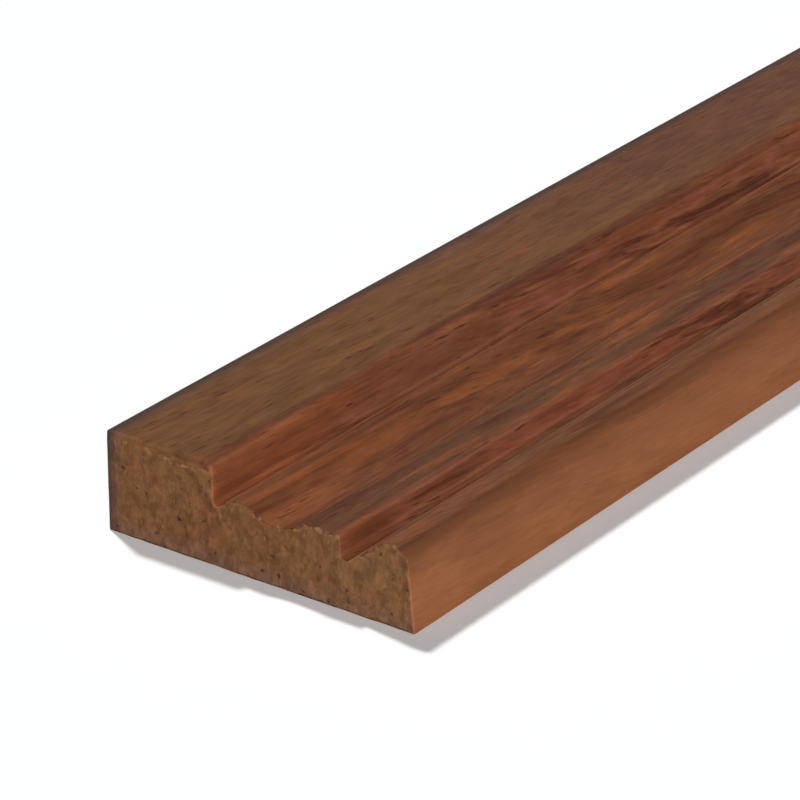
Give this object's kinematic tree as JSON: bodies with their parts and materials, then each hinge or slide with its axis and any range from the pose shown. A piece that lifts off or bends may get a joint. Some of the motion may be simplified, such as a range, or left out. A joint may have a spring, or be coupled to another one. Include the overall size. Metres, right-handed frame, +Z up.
{
  "type": "moulded hardwood batten",
  "caption": "Planed hardwood batten with a moulded top: thick flat back band, rounded shoulder, shallow hollow, groove and raised nose on the front edge.",
  "frame": {"origin": "on the underside, below the middle of the batten", "axes": "+X along the length, away from the end that the picture shows; +Y across, to the thick back edge; +Z up, out of the moulded face"},
  "size_m": [0.9, 0.0694, 0.0205],
  "materials": {
    "timber": "planed, unfinished red-brown hardwood with sawn ends"
  },
  "bodies": {
    "root": {"batten": "timber"}
  },
  "joints": []
}
